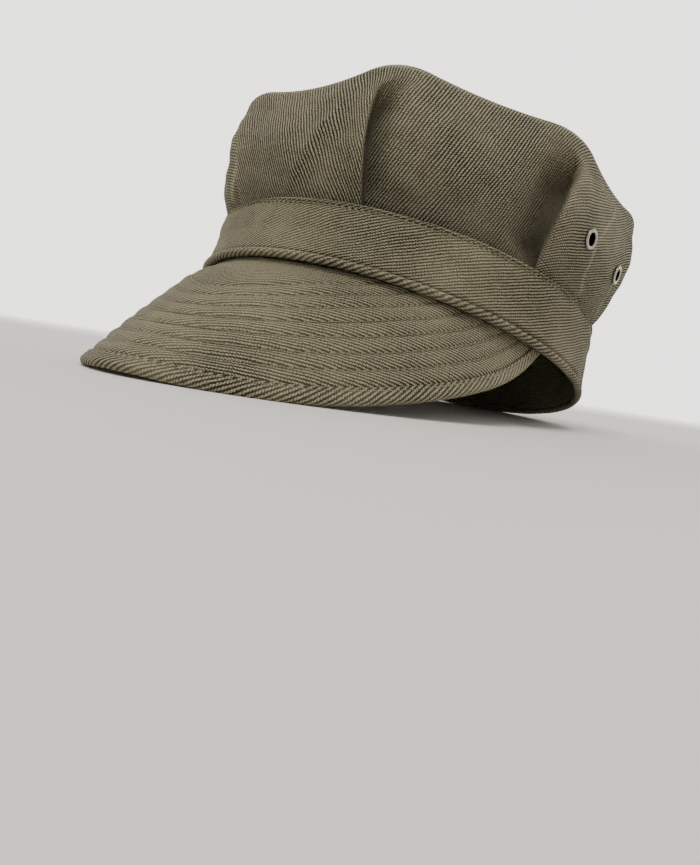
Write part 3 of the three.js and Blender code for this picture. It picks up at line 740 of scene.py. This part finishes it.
for name, (panel, across, up) in vents.items():
    middle = wall_place(panel, across, up)
    along = wall_place(panel, across + 0.02, up) - wall_place(panel, across - 0.02, up)
    rise = wall_place(panel, across, up + 0.02) - wall_place(panel, across, up - 0.02)
    out = np.cross(along, rise)
    out /= np.linalg.norm(out)
    first = along / np.linalg.norm(along)
    second = np.cross(out, first)
    holes.append((middle, first, second, out))
    section = eyelet_section()
    spin = np.linspace(0, 2 * np.pi, 49)
    ring = np.cos(spin)[None, :, None] * first + np.sin(spin)[None, :, None] * second
    ring_grid = middle + ring * section[:, 0, None, None] + out * section[:, 1, None, None]
    ring_flat = np.stack(np.broadcast_arrays(section[:, :1], spin[None]), -1)
    # Painted shade: the inside of the barrel is marked to be darkened.
    barrel_shade = -np.clip((1.0 - section[:, 1]) / 0.2, 0, 1) * (section[:, 0] < eyelet_barrel - 0.05)
    sewn_mesh(name + "_ring", ring_grid, ring_flat, nickel, "eyelet_metal", name, wear_and_shade=barrel_shade[:, None])
punched(crown, holes)

# Welt. A thick cord covered with twill cut on the bias, sewn in along the band's lower edge, so that the
# ribs wind round it like the strands of a rope.
welt_inset = 1.1
welt_turns = np.linspace(-180, 180, 1501)
welt_girth = band_girth[-1] / 180 * welt_turns


def welt_middle(turn):
    return band_point(turn, 0.0, welt_inset + 0 * turn) + np.array([0, 0, welt_radius])


welt_angles = np.radians(np.linspace(0, 360, 21))
welt_bias = 34
welt_ribs_round = 5
welt_pitch = 2 * np.pi * welt_radius * np.cos(np.radians(welt_bias)) / welt_ribs_round
welt_rows = []
for angle in welt_angles:
    ribs = wales(welt_girth, angle * welt_radius + 0 * welt_girth, welt_bias)[:, 1] / welt_pitch
    rope = np.abs(np.cos(np.pi * ribs)) ** 0.7
    slack = 0.06 * soft_noise((*round_place(welt_turns, 9 * np.cos(angle)), 9 * np.sin(angle)), 16, 31)
    joint = np.exp(-((np.abs(welt_turns) - 180) * back_seam_arc / 1.2) ** 2)
    radius = welt_radius - 0.18 + 0.22 * mix(rope, 0.3, joint) + slack
    middle = welt_middle(welt_turns)
    welt_rows.append(middle + outward(welt_turns) * (radius * np.cos(angle))[:, None]
                     + np.array([0, 0, 1]) * (radius * np.sin(angle))[:, None])
welt_twill = cotton_twill("cotton_twill_welt", "#98927A", "#2A281D", welt_pitch, relief=0.2)
welt_flat = wales(*np.broadcast_arrays(welt_girth[None], (welt_angles * welt_radius)[:, None]), welt_bias)
sewn_mesh("welt_cord", np.array(welt_rows), welt_flat, welt_twill, "welt_twill", "band_welt")

# Visor. Two faces of twill over a stiff board, quilted together with rows of stitches that follow the
# front edge. It bends one way only, so each point also has its place in the flat pattern.
visor_length = 74.2
visor_half_angle = 77.5
visor_slope = np.radians(48)
visor_dip = 4.2
visor_swell = 1.5
visor_thick = 2.4
visor_margin = 1.5
visor_seam = 2.5
settle_front = 12
settle_side = 40
binding_width = 5.5
binding_wall = 0.8
visor_run = np.array([0, -np.cos(visor_slope), -np.sin(visor_slope)])
visor_lift = np.array([0, -np.sin(visor_slope), np.cos(visor_slope)])


def bent_point(turn, reach):
    side = np.minimum(np.abs(turn) / visor_half_angle, 1)
    dip = visor_dip * np.sin(np.pi * side) ** 2 * np.maximum(reach, 0) / visor_length
    return band_point(turn, 0.0) + reach[..., None] * visor_run - dip[..., None] * visor_lift


def bent_normal(turn, reach):
    across = bent_point(turn + 0.5, reach) - bent_point(turn - 0.5, reach)
    along = bent_point(turn, reach + 0.5) - bent_point(turn, reach - 0.5)
    normal = np.cross(along, across)
    return normal / np.linalg.norm(normal, axis=-1, keepdims=True)


def visor_point(turn, reach, height):
    side = np.minimum(np.abs(turn) / visor_half_angle, 1) ** 2
    roll = ((welt_middle(turn) - band_point(turn, 0.0)) * bent_normal(turn, 0 * turn)).sum(-1)
    tucked = roll - welt_radius - gap - visor_margin / 2 - gap - binding_wall
    seat = mix(tucked, -visor_thick / 2, ease(reach / mix(settle_front, settle_side, side)))
    swell = visor_swell * np.sin(np.pi * np.clip(reach / visor_length, 0, 1)) * (1 - side)
    return bent_point(turn, reach) + bent_normal(turn, reach) * (height + seat + swell)[..., None]


pattern_turns = np.arange(-120, 121.0)
pattern_steps = np.cross(np.diff(band_point(pattern_turns, 0.0), axis=0), visor_run)
pattern_widths = np.concatenate([[0], np.cumsum(np.linalg.norm(pattern_steps, axis=1))])
pattern_widths -= pattern_widths[120]


def to_pattern(turn, reach):
    width = np.interp(turn, pattern_turns, pattern_widths)
    return np.stack([width, band_point(turn, 0.0) @ visor_run + reach], -1)


def on_visor(flat, height):
    turn = np.interp(flat[..., 0], pattern_widths, pattern_turns)
    return visor_point(turn, flat[..., 1] - band_point(turn, 0.0) @ visor_run, height + 0 * turn)


def edge_flat(station):
    a = np.radians(mix(-90, 90, station))
    return to_pattern(visor_half_angle * np.sin(a), (visor_length + visor_seam) * np.cos(a) - visor_seam)


def inside_edge(station, distance):
    """A line in the flat pattern at a distance inside the visor's outer edge."""
    run = edge_flat(np.minimum(station + 0.004, 1)) - edge_flat(np.maximum(station - 0.004, 0))
    run /= np.linalg.norm(run, axis=-1, keepdims=True)
    way = np.stack([run[..., 1], -run[..., 0]], -1)
    return edge_flat(station) + way * np.asarray(distance)[..., None]


quilt_rows = binding_width + 6.2 * np.arange(1, 8)
edge_line = edge_flat(np.linspace(0, 1, 500))


def edge_distance(flat):
    points = flat.reshape(-1, 2)
    nearest = [np.min(np.hypot(*(points[i:i + 2000, None] - edge_line).transpose(2, 0, 1)), axis=1)
               for i in range(0, len(points), 2000)]
    return np.concatenate(nearest).reshape(flat.shape[:-1])


def quilting(flat):
    """The stitched rows draw the cloth in, and it puffs a little between them."""
    away = edge_distance(flat)
    nearest = np.min(np.abs(away[..., None] - quilt_rows), axis=-1)
    puff = 0.3 * ease(nearest / 3.0) - 0.4 * np.exp(-(nearest / 0.7) ** 2)
    place = (flat[..., 0], flat[..., 1])
    ripple = 0.1 * soft_noise(place, 9, 41) + 0.25 * soft_noise(place, 34, 42)
    return (puff + ripple) * ease((away - binding_width - 0.5) / 2)


visor_stations = np.linspace(0, 1, 341)
visor_end = visor_half_angle - np.degrees((binding_width + visor_thick) / band_half_width)
seam_line = to_pattern(visor_end * np.sin(np.radians(mix(-90, 90, visor_stations))), -visor_seam)
shoulder = inside_edge(visor_stations, binding_width + gap + 0.6)


def visor_face(side):
    """The top or the under face from the binding to the seam: flat, in place, and where shade is painted
    along the stitched rows.
    """
    margin = [inside_edge(visor_stations, d) for d in (binding_wall + gap, 2.6, 4.2, binding_width + gap)]
    rows = margin + [mix(shoulder, seam_line, share) for share in np.linspace(0, 1, 78)]
    flats = np.array(rows)
    half = np.where(np.arange(len(rows)) < len(margin), visor_margin / 2, visor_thick / 2)[:, None]
    ends = ease(np.minimum(visor_stations, 1 - visor_stations) / 0.004)
    relief = quilting(flats) * (1 if side > 0 else 0.6)
    # Painted shade: a dark line along each stitched row.
    nearest = np.min(np.abs(edge_distance(flats)[..., None] - quilt_rows), axis=-1)
    return flats, on_visor(flats, side * (half + relief) * ends), -0.8 * np.exp(-(nearest / 0.5) ** 2)


visor_flat, visor_grid, visor_row_shade = [np.concatenate([top, under[::-1], top[:1]])
                                      for top, under in zip(visor_face(1), visor_face(-1))]
visor_twill = cotton_twill("cotton_twill_visor", "#A39D81", "#201E14", wale_pitch)
sewn_mesh("visor_cloth", visor_grid, wales(visor_flat[..., 0], -visor_flat[..., 1], 27), visor_twill,
          "visor_twill", "visor", wear_and_shade=visor_row_shade)


def visor_row(distance, height):
    """A stitch line on the visor's face, only where the cloth shows in front of the roll."""
    flat = inside_edge(np.linspace(0, 1, 600), distance + np.zeros(600))
    turn = np.interp(flat[:, 0], pattern_widths, pattern_turns)
    reach = flat[:, 1] - band_point(turn, 0.0) @ visor_run
    deep = edge_distance(flat) > distance - 0.05
    flat = flat[(reach > 1.5) & (np.abs(turn) < visor_half_angle) & deep]
    return on_visor(flat, height), on_visor(flat, height + 1) - on_visor(flat, height)


stitches("visor_stitching", [visor_row(d, visor_thick / 2 - 0.3) for d in quilt_rows], cotton_thread,
         "visor_twill", length=2.7)

# Binding. A strip of the twill cut on the bias, folded over the visor's raw front edge and stitched
# down along its own inner edge through all the layers.
binding_stations = np.linspace(0, 1, 1101)
binding_half = visor_margin / 2 + gap + binding_wall
binding_depth = visor_margin / 2 + gap


def binding_section():
    """Half of the folded strip: how far in from the fold and how high, on its outer face."""
    a = np.radians(np.arange(80, -1, -11.5))
    flat = [(s, binding_half) for s in np.linspace(binding_width - 0.35, binding_half, 13)]
    fold = np.stack([binding_half * (1 - np.cos(a)), binding_half * np.sin(a)], -1)
    edge = [(binding_width, binding_depth + 0.15), (binding_width - 0.05, binding_half - 0.25)]
    return np.array([(binding_width - 0.3, binding_depth), *edge, *flat, *fold])


half_section = binding_section()
lower_half = half_section[:-1][::-1] * [1, -1]
inner_fold = binding_wall * 1.6
hidden = [(inner_fold, -binding_depth), (binding_wall, 0), (inner_fold, binding_depth)]
section = np.concatenate([half_section, lower_half, hidden, half_section[:1]])
around = np.concatenate([[0], np.cumsum(np.hypot(*np.diff(section, axis=0).T))])
edge_run = edge_flat(binding_stations)
edge_reach = np.concatenate([[0], np.cumsum(np.hypot(*np.diff(edge_run, axis=0).T))])
strip_x, strip_y = np.broadcast_arrays(edge_reach[None], around[:, None])
binding_bias = -29
binding_pitch = 1.5
binding_ribs = wales(strip_x, strip_y, binding_bias)
binding_rope = np.abs(np.cos(np.pi * binding_ribs[..., 1] / binding_pitch)) ** 0.7
binding_grid = []
binding_ends = ease(np.minimum(binding_stations, 1 - binding_stations) / 0.003)
for i, (inside, height) in enumerate(section):
    shown = 1.0 if i < len(section) - 4 else 0.0
    slack = 0.06 * soft_noise((strip_x[i], strip_y[i]), 12, 51)
    proud = shown * binding_ends * (0.12 * binding_rope[i] - 0.1 + slack)
    valley = -0.22 * np.exp(-((inside - binding_width + 1.2) / 0.5) ** 2) * (abs(height) > binding_depth)
    place = inside_edge(binding_stations, inside - proud * (1 - abs(height) / binding_half))
    binding_grid.append(on_visor(place, (height + np.sign(height) * (proud + valley)) * binding_ends))
binding_grid[-1] = binding_grid[0]
binding_twill = cotton_twill("cotton_twill_binding", "#9C967B", "#201E14", binding_pitch, relief=0.2)
sewn_mesh("binding_strip", np.array(binding_grid), binding_ribs, binding_twill, "binding_twill",
          "visor_binding")
edge_row = visor_row(binding_width - 1.2, binding_half - 0.2)
stitches("binding_stitching", [edge_row], cotton_thread, "binding_twill", length=2.7)

# Floor and backdrop. A seamless sheet of pale grey paper, faintly uneven, that turns up far from the cap
# all round. On the far side from the camera it glows: painted light, an emission that also lights the
# cap.
paper = blank_material("pale_paper")
paper_place = add(paper, "TexCoord")["Object"]
paper_tone = add(paper, "TexNoise", {"Vector": paper_place, "Scale": 3.0, "Detail": 3.0})[0]
paper_colour = add(paper, "Mix", {0: paper_tone, 6: linear("#DAD7D3"), 7: linear("#E6E3DF")},
                   data_type="RGBA")[2]
paper_shader = add(paper, "BsdfPrincipled", {"Base Color": paper_colour, "Roughness": 0.9})[0]
beyond = add(paper, "VectorMath", {0: paper_place, 1: (-0.58, 0.81, 0.0)},
             operation="DOT_PRODUCT")["Value"]
far_share = add(paper, "MapRange", {0: beyond, 1: 0.4, 2: 1.6, 3: 0.0, 4: 1.0})[0]
paper_glow = add(paper, "Emission", {0: linear("#F3F0EC"), 1: 3.0})[0]
blend = add(paper, "MixShader", {0: far_share, 1: paper_shader, 2: paper_glow})[0]
add(paper, "OutputMaterial", {0: blend})
floor_reach, floor_curve, backdrop_top = 2.2, 0.9, 2.6
sweep = [(1.0, 0.0), (floor_reach, 0.0)]
sweep += [(floor_reach + floor_curve * np.sin(a), floor_curve * (1 - np.cos(a)))
          for a in np.radians(np.arange(10, 91, 10))]
sweep += [(floor_reach + floor_curve, backdrop_top)]
sides = 64
spins = np.linspace(0, 2 * np.pi, sides + 1)[:-1]
floor_points = [(r * np.cos(a), r * np.sin(a), z) for r, z in sweep for a in spins] + [(0, 0, 0)]
floor_faces = [(i + sides + j, i + sides + (j + 1) % sides, i + (j + 1) % sides, i + j)
               for i in range(0, (len(sweep) - 1) * sides, sides) for j in range(sides)]
floor_faces += [(len(sweep) * sides, j, (j + 1) % sides) for j in range(sides)]
floor_mesh = bpy.data.meshes.new("paper_sweep")
floor_mesh.from_pydata(floor_points, [], floor_faces)
floor_mesh.shade_smooth()
floor_mesh.materials.append(paper)
floor = bpy.data.objects.new("paper_sweep", floor_mesh)
bpy.context.scene.collection.objects.link(floor)

# Light. An overcast sky: a large soft source overhead and in front, a weak one from the wearer's left
# front, and a dim even glow from all round.
world = bpy.data.worlds.new("overcast")
world.use_nodes = True
world.node_tree.nodes["Background"].inputs[0].default_value = linear("#F1F2F4")
world.node_tree.nodes["Background"].inputs[1].default_value = 0.32
bpy.context.scene.world = world


def soft_light(name, place, aim, size, power, colour):
    light = bpy.data.lights.new(name, "AREA")
    light.shape = "DISK"
    light.size = size
    light.energy = power
    light.color = linear(colour)[:3]
    lamp = bpy.data.objects.new(name, light)
    back = np.array(place, float) - np.array(aim, float)
    back /= np.linalg.norm(back)
    right = np.cross([0, 0, 1.0], back)
    right /= np.linalg.norm(right)
    turned = np.stack([right, np.cross(back, right), back], 1)
    lamp.matrix_world = Matrix([[*turned[i], place[i]] for i in range(3)] + [[0, 0, 0, 1]])
    bpy.context.scene.collection.objects.link(lamp)


soft_light("sky_window", (0.25, -0.6, 1.6), (0, 0, 0.05), 1.1, 22, "#FFFBF5")
soft_light("front_fill", (1.2, -1.2, 0.7), (0, 0, 0.05), 1.0, 1.2, "#F4F7FF")

# Camera. The photograph's own angle: from the wearer's left front, level with the visor, tipped to the
# right, and raised just clear of the floor that the cap lies on.
camera_place = np.array([0.1911, -0.2728, 0.015])
azimuth, elevation, roll = np.radians([35.52, 5.53, 8.89])
focal_pixels = 715.8
photo_width = 700
level_back = np.array([np.sin(azimuth), -np.cos(azimuth), 0])
back = level_back * np.cos(elevation) + np.array([0, 0, np.sin(elevation)])
right = np.array([np.cos(azimuth), np.sin(azimuth), 0])
up = np.cross(back, right)
rolled_right = right * np.cos(roll) + up * np.sin(roll)
rolled_up = up * np.cos(roll) - right * np.sin(roll)
lens = bpy.data.cameras.new("photo_camera")
lens.sensor_fit = "HORIZONTAL"
lens.sensor_width = 36
lens.lens = focal_pixels * lens.sensor_width / photo_width
lens.clip_start = 0.005
camera = bpy.data.objects.new("photo_camera", lens)
camera_turn = np.stack([rolled_right, rolled_up, back], 1)
camera.matrix_world = Matrix([[*camera_turn[i], camera_place[i]] for i in range(3)] + [[0, 0, 0, 1]])
bpy.context.scene.collection.objects.link(camera)
bpy.context.scene.camera = camera
